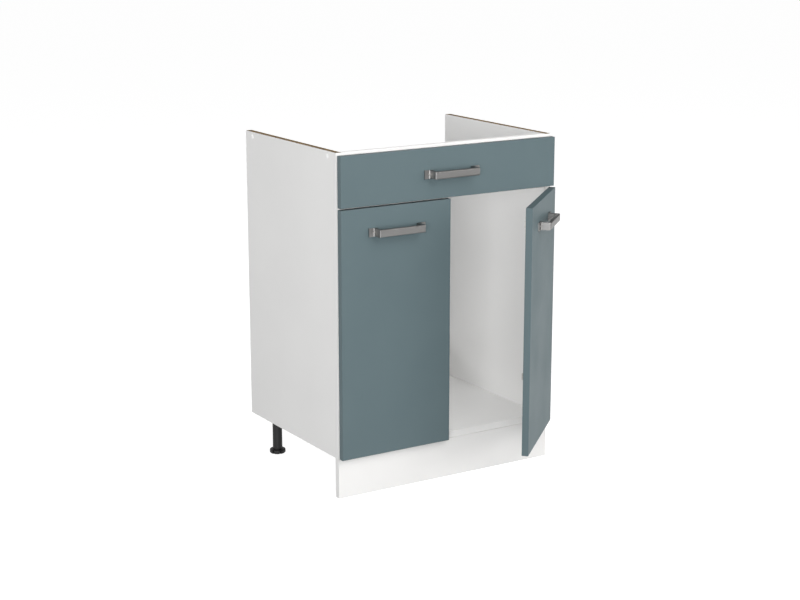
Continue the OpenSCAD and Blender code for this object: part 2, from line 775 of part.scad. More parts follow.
module mounting_plates(side) {
    plate_z = arm_z - arm_sheet - slide_gap;
    color(ZINC) at_side(side) difference() {
        at_hinges() {
            translate([plate_top_x, plate_front_y, -plate_z]) cube([plate_h, plate_l, 2 * plate_z]);
            translate([panel_x - plate_wing_t, plate_screw_y, 0]) rotate([0, 90, 0])
                linear_extrude(plate_wing_t)
                    round_rect(plate_screw_spacing + 2 * plate_wing_end, plate_wing_w, plate_wing_end);
        }
        at_plate_screws() translate([-plate_wing_t - over, 0, 0])
            rod_x(plate_screw_d + fit_gap, plate_wing_t + 2 * over);
        at_adjust_screws() translate([-over, 0, 0])
            rod_x(adjust_screw_d + fit_gap, adjust_screw_l + hole_spare + over);
    }
}

module plate_screws(side) {
    color(STEEL) at_side(side) at_plate_screws() translate([-plate_wing_t, 0, 0]) rotate([0, 0, -90])
        screw_y(plate_screw_d, plate_wing_t + panel_hole_depth - hole_spare, plate_screw_head_d);
}

module at_adjust_screws() {
    at_hinges() for (y = [plate_screw_y - adjust_front, plate_screw_y + adjust_rear])
        translate([plate_top_x, y, 0]) children();
}

// Arm: a folded channel over the mounting plate, with a tongue for pin A and a finger for pin B
module hinge_arms(side) {
    web_x = plate_top_x - arm_sheet;
    nose_x = web_x - nose_drop;
    arm_l = arm_back_y - nose_y;
    root_y = nose_y + nose_depth / 3;
    color(STEEL) at_side(side) difference() {
        at_hinges() {
            translate([web_x, nose_y, -arm_z]) cube([arm_sheet, arm_l, 2 * arm_z]);
            for (up = [0, 1]) mirror([0, 0, up]) translate([web_x, nose_y, arm_z - arm_sheet])
                cube([arm_cheek, arm_l, arm_sheet]);
            translate([nose_x, nose_y, -arm_z])
                cube([ARM_B[0] + eye_d / 2 + slide_gap - nose_x, nose_depth, 2 * arm_z]);
            middle(tongue_z) bar(ARM_A, [web_x - arm_sheet, root_y], eye_d);
            middle(finger_z) bar(ARM_B, [ARM_B[0], root_y], eye_d);
        }
        at_hinges() {
            rod_mid(ARM_A, pin_d + fit_gap, arm_z);
            rod_mid(ARM_B, pin_d + fit_gap, arm_z);
        }
        at_adjust_screws() translate([-arm_sheet - over, 0, 0])
            rod_x(adjust_screw_d + fit_gap, arm_sheet + 2 * over);
    }
}

module arm_pins(side) {
    color(ZINC) at_side(side) at_hinges() {
        rod_mid(ARM_A, pin_d, outer_link_z);
        rod_mid(ARM_B, pin_d, inner_link_z);
    }
}

module adjust_screws(side) {
    color(STEEL) at_side(side) at_adjust_screws() translate([-arm_sheet, 0, 0]) rotate([0, 0, -90])
        screw_y(adjust_screw_d, arm_sheet + adjust_screw_l, adjust_screw_head_d);
}

// Plan outline of the outer link
module outer_link_plan() {
    bar(ARM_A, OUTER_BEND, link_w);
    bar(OUTER_BEND, CUP_C, link_w);
    translate(ARM_A) circle(d = eye_d);
    translate(CUP_C) circle(d = eye_d);
}

module outer_links(side) {
    color(STEEL) at_side(side) turned_about(ARM_A, outer_turn * opening(side)) difference() {
        at_hinges() {
            layers(tongue_z + slide_gap, outer_link_z) outer_link_plan();
            middle(outer_link_z) intersection() {
                outer_link_plan();
                translate(OUTER_BEND - [1.5 * link_w + link_sheet, eye_d])
                    square([2 * link_w, 2 * eye_d]);
            }
        }
        at_hinges() {
            rod_mid(ARM_A, pin_d + pin_gap, arm_z);
            rod_mid(CUP_C, pin_d + pin_gap, arm_z);
        }
    }
}

// Plan outline of the inner link
module inner_link_plan() {
    bar(ARM_B, INNER_BEND, link_w);
    bar(INNER_BEND, OPEN_EYE, link_w);
    translate(ARM_B) circle(d = eye_d);
    translate(OPEN_EYE) circle(d = open_eye_d);
}

module inner_links(side) {
    color(STEEL) at_side(side) turned_about(ARM_B, inner_turn * opening(side)) difference() {
        at_hinges() {
            layers(finger_z + slide_gap, inner_link_z) inner_link_plan();
            middle(inner_link_z) difference() {
                inner_link_plan();
                translate(ARM_B) circle(d = eye_d + link_w);
            }
        }
        at_hinges() {
            rod_mid(ARM_B, pin_d + pin_gap, arm_z);
            rod_mid(OPEN_EYE, pin_d + open_pin_gap, arm_z);
        }
    }
}

// Outline of the cup's wings, seen along Y, with x along X and y along Z
module wing_outline() {
    translate([cup_x - cup_screw_step, 0]) {
        for (up = [-1, 1]) translate([0, up * cup_screw_spacing / 2]) circle(d = wing_w);
        square([wing_w, cup_screw_spacing], center = true);
    }
    translate([cup_x, 0]) circle(d = cup_bore_d + 2 * cup_rim);
}

module hinge_cups(side) {
    tub_d = cup_bore_d - fit_gap;
    tub_depth = cup_bore_depth - fit_gap;
    inner_d = tub_d - 2 * cup_wall;
    tub_front_y = front_back_y - tub_depth;
    boss_x = min(CUP_C[0], CUP_D[0]) - eye_d / 2;
    boss_w = max(CUP_C[0], CUP_D[0]) + eye_d / 2 - boss_x;
    boss_l = CUP_C[1] + eye_d / 2 - layer_step - tub_front_y;
    pass_z = tongue_z + 2 * link_sheet;
    color(STEEL) with_door(side) difference() {
        at_hinges() {
            difference() {
                union() {
                    translate([cup_x, tub_front_y, 0]) rod_y(tub_d, tub_depth);
                    translate([0, front_back_y + wing_t, 0]) rotate([90, 0, 0])
                        linear_extrude(wing_t) wing_outline();
                }
                translate([cup_x, tub_front_y + cup_wall, 0]) rod_y(inner_d, 2 * tub_depth);
                // Low rim where the links pass over the door's edge
                translate([cup_x, front_back_y - cup_rim_drop, -pass_z])
                    cube([cup_bore_d, 2 * cup_rim_drop, 2 * pass_z]);
            }
            intersection() {
                translate([cup_x, tub_front_y, 0]) rod_y(tub_d, 2 * tub_depth);
                for (up = [0, 1]) mirror([0, 0, up]) translate([boss_x, tub_front_y, boss_z])
                    cube([boss_w, boss_l, boss_h]);
            }
        }
        at_hinges() {
            rod_mid(CUP_C, pin_d + fit_gap, arm_z + 2 * hole_spare);
            rod_mid(CUP_D, pin_d + fit_gap, arm_z + 2 * hole_spare);
        }
        at_cup_screws() translate([0, -over, 0]) rod_y(wood_screw_d + fit_gap, wing_t + 2 * over);
    }
}

module cup_pins(side) {
    color(ZINC) with_door(side) at_hinges() {
        for (up = [0, 1]) mirror([0, 0, up]) translate([CUP_C[0], CUP_C[1], tongue_z])
            cylinder(d = pin_d, h = arm_z + hole_spare - tongue_z);
        rod_mid(CUP_D, pin_d, arm_z + hole_spare);
    }
}

module cup_screws(side) {
    color(STEEL) with_door(side) at_cup_screws() translate([0, wing_t, 0]) rotate([0, 0, 180])
        screw_y(wood_screw_d, wing_t + wood_screw_grip, wood_screw_head_d);
}

module at_cup_screws() {
    at_hinges() for (up = [-1, 1])
        translate([cup_x - cup_screw_step, front_back_y, up * cup_screw_spacing / 2]) children();
}

// Doors

module door(side) {
    color(BLUE_GREY) with_door(side) difference() {
        front_board(door_mid_x, door_w, door_bottom, door_h);
        at_hinges() translate([cup_x, front_back_y - cup_bore_depth, 0])
            rod_y(cup_bore_d, cup_bore_depth + over);
        at_cup_screws() front_hole();
        at_handle_screws(door_mid_x, door_handle_z)
            rod_y(handle_screw_d + fit_gap, front_t + 2 * over);
    }
}

module bumpers(side) {
    color(WHITE) with_door(side) for (x = [front_gap / 2 + bumper_in, door_mid_x])
        translate([x, front_back_y, leg_h + board_mid]) rotate([-90, 0, 0]) rotate_extrude() {
            square([bumper_d / 2, bumper_t / 2]);
            square([bumper_d / 2 - bumper_t / 2, bumper_t]);
            intersection() {
                translate([bumper_d / 2 - bumper_t / 2, bumper_t / 2]) circle(d = bumper_t);
                square([bumper_d / 2, bumper_t]);
            }
        }
}

side_panel(LEFT);  // side_panel_left
side_panel(RIGHT);  // side_panel_right
bottom_panel();
front_rail();
rear_rail();
drawer_front();
bow_handle(0, drawer_handle_z);  // handle_drawer
handle_screws(0, drawer_handle_z);  // handle_screws_drawer
front_spacers();
front_screws();
cam_locks();
cam_bolts();
dowels();
cover_caps();
leg_sockets();
leg_screws();
leg_columns();
plinth();
plinth_clips();
clip_screws();
mounting_plates(LEFT);  // mounting_plates_left
mounting_plates(RIGHT);  // mounting_plates_right
plate_screws(LEFT);  // plate_screws_left
plate_screws(RIGHT);  // plate_screws_right
hinge_arms(LEFT);  // hinge_arms_left
hinge_arms(RIGHT);  // hinge_arms_right
arm_pins(LEFT);  // arm_pins_left
arm_pins(RIGHT);  // arm_pins_right
adjust_screws(LEFT);  // adjust_screws_left
adjust_screws(RIGHT);  // adjust_screws_right
outer_links(LEFT);  // outer_links_left
outer_links(RIGHT);  // outer_links_right
inner_links(LEFT);  // inner_links_left
inner_links(RIGHT);  // inner_links_right
door(LEFT);  // door_left
door(RIGHT);  // door_right
with_door(LEFT) bow_handle(door_mid_x, door_handle_z);  // handle_left
with_door(RIGHT) bow_handle(door_mid_x, door_handle_z);  // handle_right
with_door(LEFT) handle_screws(door_mid_x, door_handle_z);  // handle_screws_left
with_door(RIGHT) handle_screws(door_mid_x, door_handle_z);  // handle_screws_right
hinge_cups(LEFT);  // hinge_cups_left
hinge_cups(RIGHT);  // hinge_cups_right
cup_screws(LEFT);  // cup_screws_left
cup_screws(RIGHT);  // cup_screws_right
cup_pins(LEFT);  // cup_pins_left
cup_pins(RIGHT);  // cup_pins_right
bumpers(LEFT);  // bumpers_left
bumpers(RIGHT);  // bumpers_right
foot(LEFT, front_foot);  // foot_front_left
foot(RIGHT, front_foot);  // foot_front_right
foot(LEFT, rear_foot);  // foot_rear_left
foot(RIGHT, rear_foot);  // foot_rear_right
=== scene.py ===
# %% [markdown]
# # A sink base cabinet, dressed for a studio picture
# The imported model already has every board, hinge and foot at its real size. This lesson adds what a
# solid model leaves out: the finishes, the softened edges, the brushed handles and the light.
# We work in metres. X runs to the right, Y to the back and Z up, and the floor is at Z = 0.

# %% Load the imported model
import json
import math

import bmesh
import bpy
from mathutils import Matrix, Vector


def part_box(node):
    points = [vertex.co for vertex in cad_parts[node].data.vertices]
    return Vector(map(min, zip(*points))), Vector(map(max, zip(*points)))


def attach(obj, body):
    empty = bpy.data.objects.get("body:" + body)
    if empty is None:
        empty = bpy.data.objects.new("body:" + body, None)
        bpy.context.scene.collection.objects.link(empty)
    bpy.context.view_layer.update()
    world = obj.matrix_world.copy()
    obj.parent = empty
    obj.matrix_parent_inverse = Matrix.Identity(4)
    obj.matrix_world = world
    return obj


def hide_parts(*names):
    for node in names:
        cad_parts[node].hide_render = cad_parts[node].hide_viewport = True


MM = 0.001
MICRON = 0.001 * MM
NEAR = 0.01 * MM
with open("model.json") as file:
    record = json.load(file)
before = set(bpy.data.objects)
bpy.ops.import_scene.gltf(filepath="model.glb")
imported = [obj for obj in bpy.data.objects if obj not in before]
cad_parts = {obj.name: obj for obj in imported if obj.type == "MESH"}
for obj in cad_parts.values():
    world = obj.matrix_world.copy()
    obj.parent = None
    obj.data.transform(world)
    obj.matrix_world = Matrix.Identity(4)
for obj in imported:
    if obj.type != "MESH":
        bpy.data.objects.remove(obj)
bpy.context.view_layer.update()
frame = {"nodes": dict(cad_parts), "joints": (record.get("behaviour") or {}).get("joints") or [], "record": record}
scene = bpy.context.scene
body_of = {node: body for body, nodes in frame["record"]["behaviour"]["bodies"].items()
           for node in nodes}
slot_of = {part["node"]: part["material_slot"] for part in frame["record"]["subparts"]}

# %% [markdown]
# ## The camera
# The picture was taken from the front left, a little above the cabinet, with a long lens. A long
# lens from far away keeps the cabinet's edges nearly parallel, as catalogue pictures do. The
# camera looks down by some thirteen degrees, and to the right of straight back by thirty-two.

# %% Place the camera
LENS_LENGTH = 76.465
SENSOR_WIDTH = 36.0
STANDPOINT = (-2.17471, -3.26822, 1.38271)
DEGREES_DOWN = 13.503
DEGREES_RIGHT = 32.027
lens = bpy.data.cameras.new("studio_camera")
lens.lens = LENS_LENGTH
lens.sensor_width = SENSOR_WIDTH
camera = bpy.data.objects.new("studio_camera", lens)
camera.location = STANDPOINT
camera.rotation_euler = (math.radians(90 - DEGREES_DOWN), 0, math.radians(-DEGREES_RIGHT))
scene.collection.objects.link(camera)
scene.camera = camera
print("camera looks", [round(v, 3) for v in camera.rotation_euler])

# %% [markdown]
# ## Helpers for materials
# Every finish here is a small node tree on the Principled shader. One helper starts a material, and
# one adds a node and wires its inputs, so that each finish below reads as a short recipe. All
# patterns read Object coordinates, because each piece's object sits at the origin and its
# coordinates are real metres: a scale of 1000 makes a pattern about a millimetre wide.

# %% Start a material and add a node
def start_finish(name, roughness, metallic=0.0):
    finish = bpy.data.materials.new(name)
    finish.use_nodes = True
    shader = finish.node_tree.nodes["Principled BSDF"]
    shader.inputs["Roughness"].default_value = roughness
    shader.inputs["Metallic"].default_value = metallic
    return finish, finish.node_tree, shader


def add(tree, kind, wires=None, **settings):
    made = tree.nodes.new("ShaderNode" + kind)
    for name, value in settings.items():
        setattr(made, name, value)
    for socket, value in (wires or {}).items():
        if isinstance(value, bpy.types.NodeSocket):
            tree.links.new(value, made.inputs[socket])
        else:
            made.inputs[socket].default_value = value
    return made


# %% [markdown]
# A pattern is often stretched along the grain or the brushing, so one helper gives Object
# coordinates with a stretch, after a turn for a piece that stands at an angle. The others make a
# noise, carry a value from one range to another, mix two colours by a mask and do one sum.

# %% Coordinates, patterns and colour mixes
def places(tree, stretch=(1, 1, 1), turn=0.0):
    spot = add(tree, "TexCoord").outputs["Object"]
    if turn:
        spot = add(tree, "Mapping", {"Vector": spot, "Rotation": (0, 0, -turn)}).outputs[0]
    return add(tree, "Mapping", {"Vector": spot, "Scale": stretch}).outputs[0]


def noise(tree, scale, stretch=(1, 1, 1), detail=3.0, turn=0.0):
    made = add(tree, "TexNoise", {"Vector": places(tree, stretch, turn), "Scale": scale,
                                  "Detail": detail})
    return made.outputs["Fac"]


def ramp(tree, value, low, high, to_low=0.0, to_high=1.0):
    made = add(tree, "MapRange", {"Value": value, "From Min": low, "From Max": high,
                                  "To Min": to_low, "To Max": to_high})
    return made.outputs["Result"]


def mix_colour(tree, mask, first, second):
    made = add(tree, "Mix", {"Factor": mask}, data_type="RGBA")
    for socket, value in ((6, first), (7, second)):
        if isinstance(value, bpy.types.NodeSocket):
            tree.links.new(value, made.inputs[socket])
        else:
            made.inputs[socket].default_value = (*value, 1)
    return made.outputs[2]


def math_node(tree, kind, first, second):
    return add(tree, "Math", {0: first, 1: second}, operation=kind).outputs[0]


# %% [markdown]
# Three more helpers end at the shader. A finish gets its colour, a roughness that varies with a
# pattern, and a bump: a height pattern with a depth in metres. No real surface is equally rough
# all over, and the small differences are what make it look handled rather than drawn.

# %% Colour, roughness and bump of a finish
def paint(tree, shader, colour):
    tree.links.new(colour, shader.inputs["Base Color"])


def vary_roughness(tree, shader, pattern, low, high):
    tree.links.new(ramp(tree, pattern, 0.3, 0.7, low, high), shader.inputs["Roughness"])


def bump(tree, shader, height, depth):
    made = add(tree, "Bump", {"Height": height, "Distance": depth, "Strength": 1.0})
    tree.links.new(made.outputs["Normal"], shader.inputs["Normal"])


# %% [markdown]
# ## White faced board
# The carcass is chipboard with a white melamine face. The face is pressed against a steel plate
# with a fine pearl texture, so it shines softly and its highlight breaks up. The colour varies by
# less than two percent, which is enough to keep large faces from looking drawn.

# %% White board finish
WHITE = (0.80, 0.798, 0.79)
WHITE_DIM = (0.785, 0.783, 0.776)


def white_face(tree, shader):
    pearl = noise(tree, 900, detail=2.0)
    patches = noise(tree, 6)
    vary_roughness(tree, shader, patches, 0.42, 0.5)
    bump(tree, shader, pearl, 30 * MICRON)
    return mix_colour(tree, ramp(tree, patches, 0.35, 0.7), WHITE, WHITE_DIM)


def white_board():
    finish, tree, shader = start_finish("white_board", 0.45)
    paint(tree, shader, white_face(tree, shader))
    return finish


# %% [markdown]
# ## Raw chipboard on the top edges
# The side panels' top edges carry no banding, because a worktop hides them. They show the board's
# core: brown flakes, coarse and fine together, with darker clumps about a centimetre wide. Two
# Voronoi patterns stretched along the board give the flakes, and a soft noise gives the clumps. A
# mask keeps them to faces that look up at the panel's top, and makes these faces rougher. The
# upright edges, front and back, have a thin white band, glued on, so the mask stops short of them.
# A hairline shows where the front one meets the face.

# %% Chipboard colours
FLAKE_DARK = (0.06, 0.038, 0.018)
FLAKE_BROWN = (0.15, 0.09, 0.03)
FLAKE_LIGHT = (0.36, 0.22, 0.06)
FINE_DARK = (0.14, 0.085, 0.03)
FINE_LIGHT = (0.3, 0.185, 0.055)
FINE_SHARE = 0.35
CLUMP = (0.05, 0.035, 0.02)
CLUMP_SHARE = 0.6


def chipboard(tree):
    flakes = add(tree, "TexVoronoi", {"Vector": places(tree, (1.0, 0.35, 1.0)), "Scale": 520.0})
    fine = add(tree, "TexVoronoi", {"Vector": places(tree, (1.0, 0.5, 1.0)), "Scale": 1500.0})
    coarse_colours = add(tree, "ValToRGB", {"Fac": flakes.outputs["Color"]})
    stops = coarse_colours.color_ramp.elements
    stops[0].position = 0.2
    stops[0].color = (*FLAKE_DARK, 1)
    stops[1].position = 0.8
    stops[1].color = (*FLAKE_LIGHT, 1)
    stops.new(0.5).color = (*FLAKE_BROWN, 1)
    fine_colours = mix_colour(tree, fine.outputs["Distance"], FINE_DARK, FINE_LIGHT)
    flaked = mix_colour(tree, FINE_SHARE, coarse_colours.outputs["Color"], fine_colours)
    clumps = ramp(tree, noise(tree, 110, detail=1.0), 0.4, 0.62)
    return mix_colour(tree, math_node(tree, "MULTIPLY", clumps, CLUMP_SHARE), flaked, CLUMP)


# %% The side panel's finish
panel_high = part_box("side_panel_left")[1]
TOP_SKIN = 0.3 * MM
BAND = 0.8 * MM
SEAM = 0.12 * MM
SEAM_COLOUR = (0.3, 0.28, 0.26)
SEAM_SHARE = 0.35
RAW_ROUGHNESS = 0.95


def raw_mask(tree, place, facing):
    top = math_node(tree, "GREATER_THAN", place.outputs["Z"], panel_high.z - TOP_SKIN)
    up = math_node(tree, "GREATER_THAN", facing.outputs["Z"], 0.9)
    behind_band = math_node(tree, "GREATER_THAN", place.outputs["Y"], BAND)
    before_band = math_node(tree, "LESS_THAN", place.outputs["Y"], panel_high.y - BAND)
    return math_node(tree, "MULTIPLY", math_node(tree, "MULTIPLY", top, up),
                     math_node(tree, "MULTIPLY", behind_band, before_band))


def side_panel_board():
    finish, tree, shader = start_finish("white_board_raw_top", 0.45)
    face = white_face(tree, shader)
    coords = add(tree, "TexCoord")
    place = add(tree, "SeparateXYZ", {"Vector": coords.outputs["Object"]})
    facing = add(tree, "SeparateXYZ", {"Vector": coords.outputs["Normal"]})
    raw = raw_mask(tree, place, facing)
    past_band = math_node(tree, "SUBTRACT", place.outputs["Y"], BAND)
    near_seam = math_node(tree, "LESS_THAN", math_node(tree, "ABSOLUTE", past_band, 0), SEAM)
    seam = math_node(tree, "MULTIPLY", near_seam, SEAM_SHARE)
    banded = mix_colour(tree, seam, face, SEAM_COLOUR)
    face_roughness = shader.inputs["Roughness"].links[0].from_socket
    rough = math_node(tree, "MAXIMUM", face_roughness,
                      math_node(tree, "MULTIPLY", raw, RAW_ROUGHNESS))
    tree.links.new(rough, shader.inputs["Roughness"])
    paint(tree, shader, mix_colour(tree, raw, banded, chipboard(tree)))
    return finish


# %% [markdown]
# ## Blue-grey fronts
# The doors and the false drawer front have a matt blue-grey film, wrapped round their rounded edges.
# It is smooth but not flat: a very fine grain scatters the light, and broad soft patches come from
# the board below. Shade is painted into the film's colour along the top and bottom edges as a darker
# band, strongest on faces that look down. Such fronts keep a white face at the back. Masks find both
# by the surface's direction: how far it looks up or down, and whether it looks the way the back does.

# %% Front finish
FRONT = (0.103, 0.145, 0.158)
FRONT_DIM = (0.098, 0.139, 0.152)
# The colour of the painted shade on the fronts' top and bottom edges.
FRONT_PAINTED_SHADE = (0.055, 0.076, 0.083)
LOOKS_DOWN = (-0.6, -0.1)
LOOKS_UP = (0.7, 0.95)
UNSHADED_SHARE_ON_TOP = 0.55


def front_film(name, back):
    finish, tree, shader = start_finish(name, 0.5)
    shader.inputs["Specular IOR Level"].default_value = 0.2
    grain = noise(tree, 1400, detail=2.0)
    patches = noise(tree, 7)
    vary_roughness(tree, shader, patches, 0.46, 0.54)
    bump(tree, shader, grain, 20 * MICRON)
    film = mix_colour(tree, ramp(tree, patches, 0.35, 0.7), FRONT, FRONT_DIM)
    normal = add(tree, "TexCoord").outputs["Normal"]
    up = add(tree, "SeparateXYZ", {"Vector": normal}).outputs["Z"]
    # Painted shade: faces that look down take the darker colour in full, and faces that look up take part of it.
    unshaded = math_node(tree, "MULTIPLY", ramp(tree, up, *LOOKS_DOWN),
                      ramp(tree, up, *LOOKS_UP, 1.0, UNSHADED_SHARE_ON_TOP))
    film = mix_colour(tree, unshaded, FRONT_PAINTED_SHADE, film)
    facing = add(tree, "VectorMath", {0: normal, 1: back}, operation="DOT_PRODUCT")
    at_back = math_node(tree, "GREATER_THAN", facing.outputs["Value"], 0.95)
    paint(tree, shader, mix_colour(tree, at_back, film, WHITE))
    return finish


# %% [markdown]
# ## Metals
# The handles are brushed along their length, so their noise is stretched along X, or along the open
# door on the handle that stands there. The hinges are stamped from nickel-plated sheet, which is
# smoother, with faint rolling marks.

# %% Brushed and plated metal
def metal(name, colour, roughness, stretch, scale, depth, turn=0.0):
    finish, tree, shader = start_finish(name, roughness, 1.0)
    marks = noise(tree, scale, stretch, detail=4.0, turn=turn)
    vary_roughness(tree, shader, marks, roughness - 0.05, roughness + 0.08)
    darker = tuple(0.8 * c for c in colour)
    paint(tree, shader, mix_colour(tree, marks, colour, darker))
    bump(tree, shader, marks, depth)
    return finish


# %% [markdown]
# ## Plastics and beech
# The feet are black moulded plastic with a fine eroded surface. The caps are white plastic. The
# dowels are raw beech with short brown flecks along the grain.

# %% Plastic and wood finishes
def plastic(name, colour, roughness, scale, depth, gloss=0.5):
    finish, tree, shader = start_finish(name, roughness)
    shader.inputs["Specular IOR Level"].default_value = gloss
    skin = noise(tree, scale, detail=2.0)
    patches = noise(tree, 40)
    vary_roughness(tree, shader, patches, roughness - 0.04, roughness + 0.06)
    lighter = tuple(1.12 * c for c in colour)
    paint(tree, shader, mix_colour(tree, patches, colour, lighter))
    bump(tree, shader, skin, depth)
    return finish


BEECH = (0.62, 0.44, 0.26)
BEECH_FLECK = (0.45, 0.29, 0.15)


def beech():
    finish, tree, shader = start_finish("beech", 0.6)
    grain = noise(tree, 900, (0.08, 1, 1), detail=4.0)
    paint(tree, shader, mix_colour(tree, ramp(tree, grain, 0.35, 0.7), BEECH, BEECH_FLECK))
    bump(tree, shader, grain, 50 * MICRON)
    return finish


# %% [markdown]
# ## Where the open door stands
# The right door stands open. It turns on the cup pin, and the pin itself has moved with the outer
# link, so a piece drawn for a shut door gets there by a turn and a shift. The left door is shut, and
# its pin, mirrored, shows where the right one's would be.

# %% The open door's turn
DOOR_OPEN = math.radians(43)
joint_at = {joint["name"]: Vector(joint["pos_m"]) for joint in frame["joints"]}
pin_shut = joint_at["door_left_swing"] * Vector((-1, 1, 1))
pin_open = joint_at["door_right_swing"]
opened = (Matrix.Translation(pin_open) @ Matrix.Rotation(DOOR_OPEN, 4, "Z")
          @ Matrix.Translation(-pin_shut))
print("the pin moved by", [round(v, 4) for v in pin_open - pin_shut])

# %% [markdown]
# ## Give each board and fitting its finish
# The record says which slot each node belongs to. A table from slots to finishes covers them all,
# with two kinds of exception: the side panels, because of their raw top edges, and the open door
# with its handle, because the handle's brushing and the door's back have turned with it.

# %% Assign the finishes
BRUSHED = (0.24, 0.238, 0.235)
NICKEL = (0.62, 0.61, 0.59)
ZINC = (0.55, 0.55, 0.56)
CAP_WHITE = (0.88, 0.88, 0.88)
FOOT_BLACK = (0.011, 0.011, 0.0115)
BRUSHING = dict(roughness=0.4, stretch=(0.02, 1, 1), scale=2500, depth=3 * MICRON)
finishes = {
    "white_board": white_board(),
    "blue_grey_front": front_film("blue_grey_film", (0, 1, 0)),
    "handle_metal": metal("brushed_handle", BRUSHED, **BRUSHING),
    "plated_steel": metal("nickel_plate", NICKEL, 0.28, (1, 1, 0.1), 1200, 4 * MICRON),
    "die_cast_zinc": metal("die_cast", ZINC, 0.40, (1, 1, 1), 900, 10 * MICRON),
    "beech": beech(),
    "white_plastic": plastic("white_cap", CAP_WHITE, 0.3, 700, 10 * MICRON),
    "black_plastic": plastic("black_moulding", FOOT_BLACK, 0.42, 1300, 40 * MICRON, gloss=0.3),
}
raw_top = side_panel_board()
turned_brushing = metal("brushed_handle_open", BRUSHED, turn=DOOR_OPEN, **BRUSHING)
turned_film = front_film("blue_grey_film_open", opened.to_3x3() @ Vector((0, 1, 0)))
special = {
    "side_panel_left": raw_top,
    "side_panel_right": raw_top,
    "handle_right": turned_brushing,
    "door_right": turned_film,
}


def finish_of(node):
    return special.get(node, finishes[slot_of[node]])


for node, solid in frame["nodes"].items():
    solid.data.materials.clear()
    solid.data.materials.append(finish_of(node))
print("finishes:", len(finishes) + len(set(special.values())))

# %% [markdown]
# ## Turn a bmesh into a piece
# Each new piece takes the place of one node: it rides on the same body, wears the same finish and
# hides the plain solid. Its faces are shaded smooth, its sharp edges stay sharp, and weighted
# normals keep the flat faces flat where they meet a rounded edge.

# %% Finish a piece
SMOOTH_UP_TO = math.radians(32)


def stand_in(node, form):
    bmesh.ops.recalc_face_normals(form, faces=form.faces)
    mesh = bpy.data.meshes.new(node + "_dressed")
    form.to_mesh(mesh)
    form.free()
    mesh.polygons.foreach_set("use_smooth", [True] * len(mesh.polygons))
    mesh.set_sharp_from_angle(angle=SMOOTH_UP_TO)
    mesh.materials.append(finish_of(node))
    piece = bpy.data.objects.new(node + "_dressed", mesh)
    scene.collection.objects.link(piece)
    normals = piece.modifiers.new("flat_faces", "WEIGHTED_NORMAL")
    normals.keep_sharp = True
    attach(piece, body_of[node])
    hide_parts(node)
    return piece


# %% [markdown]
# ## Soft edges on the boards
# A sawn and banded board never ends in a perfectly sharp corner. The banding machine trims its
# edges to a small radius, and that thin rounded line is what catches the light. A merged copy of
# each board gets it on its long edges only, so that the drilled holes stay as they are.
# Two boards are also drawn a little larger than the solid ones, as the picture shows them. The
# front rail reaches 30 mm lower, to just below the doors' top edges, so the gap above the left door
# is dark. The plinth reaches up to the carcass, so no slit shows under the bottom panel.

# %% A merged copy and its rounding
SAME_PLACE = 2 * MICRON
FLAT_UP_TO = math.radians(0.3)


def merged_copy(node):
    form = bmesh.new()
    form.from_mesh(frame["nodes"][node].data)
    bmesh.ops.remove_doubles(form, verts=form.verts, dist=SAME_PLACE)
    bmesh.ops.dissolve_limit(form, angle_limit=FLAT_UP_TO, verts=form.verts, edges=form.edges)
    return form


def round_edges(form, radius, angle, shortest, segments=2):
    edges = [edge for edge in form.edges if edge.is_manifold and edge.calc_length() > shortest
             and edge.calc_face_angle() > math.radians(angle)]
    bmesh.ops.bevel(form, geom=edges, offset=radius, offset_type="OFFSET", segments=segments,
                    profile=0.5, affect="EDGES", material=-1, clamp_overlap=True)
    return len(edges)


# %% Round the long edges of each board
boards = ["side_panel_left", "side_panel_right", "bottom_panel", "front_rail", "rear_rail", "plinth"]
BOARD_EDGE_R = 0.4 * MM
RAIL_DROP = 30 * MM
PLINTH_RISE = 4.7 * MM
stretched = {"front_rail": (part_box("front_rail")[0].z, -RAIL_DROP),
             "plinth": (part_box("plinth")[1].z, PLINTH_RISE)}
for board in boards:
    form = merged_copy(board)
    if board in stretched:
        level, step = stretched[board]
        rim = [v for v in form.verts if abs(v.co.z - level) < NEAR]
        bmesh.ops.translate(form, verts=rim, vec=(0, 0, step))
        print(board, "edge moved to", round(level + step, 4))
    rounded = round_edges(form, BOARD_EDGE_R, angle=60, shortest=20 * MM, segments=3)
    stand_in(board, form)
    print(board, "rounded edges:", rounded)

# %% [markdown]
# ## Soft edges on the fittings
# Stamped and cast parts have small radii too, from tumbling and from their moulds: about a fifth
# of a millimetre on the hinges, a little more on the screws' heads. The limit on angle leaves the
# facets of round faces alone.

# %% Round the fittings' edges
fittings = {
    0.2: ["hinge_arms", "outer_links", "inner_links", "hinge_cups", "mounting_plates"],
    0.25: ["plate_screws", "adjust_screws", "cup_screws", "handle_screws"],
}
for radius, kinds in fittings.items():
    for kind in kinds:
        for node in sorted(frame["nodes"]):
            if node.startswith(kind):
                form = merged_copy(node)
                rounded = round_edges(form, radius * MM, angle=40, shortest=0.3 * MM)
                stand_in(node, form)
                print(node, "rounded edges:", rounded)

# %% [markdown]
# ## Bow handles
# Each handle is a flat bow: two feet against the front, two legs, and a grip bar. It is drawn as a
# plan outline, extruded to the bar's height, and its upright corners are rounded. Two cuts then
# mark where the feet flare to their full height. The last bevel softens the sharp edges.

# %% Measures of a handle
SCREW_SPAN = 128 * MM
LEG_OUT = SCREW_SPAN / 2 - 2 * MM
LEG_IN = LEG_OUT - 8 * MM
FOOT_SPREAD = 14 * MM
FOOT_FILLET = 4 * MM
FOOT_T = 3 * MM
NECK = 5 * MM
REACH = 28 * MM
GRIP_BACK = 21 * MM
BAR_H = 18 * MM
FOOT_H = 20 * MM
CORNER_R = 3 * MM
INNER_R = 2 * MM
HANDLE_EDGE_R = 0.5 * MM


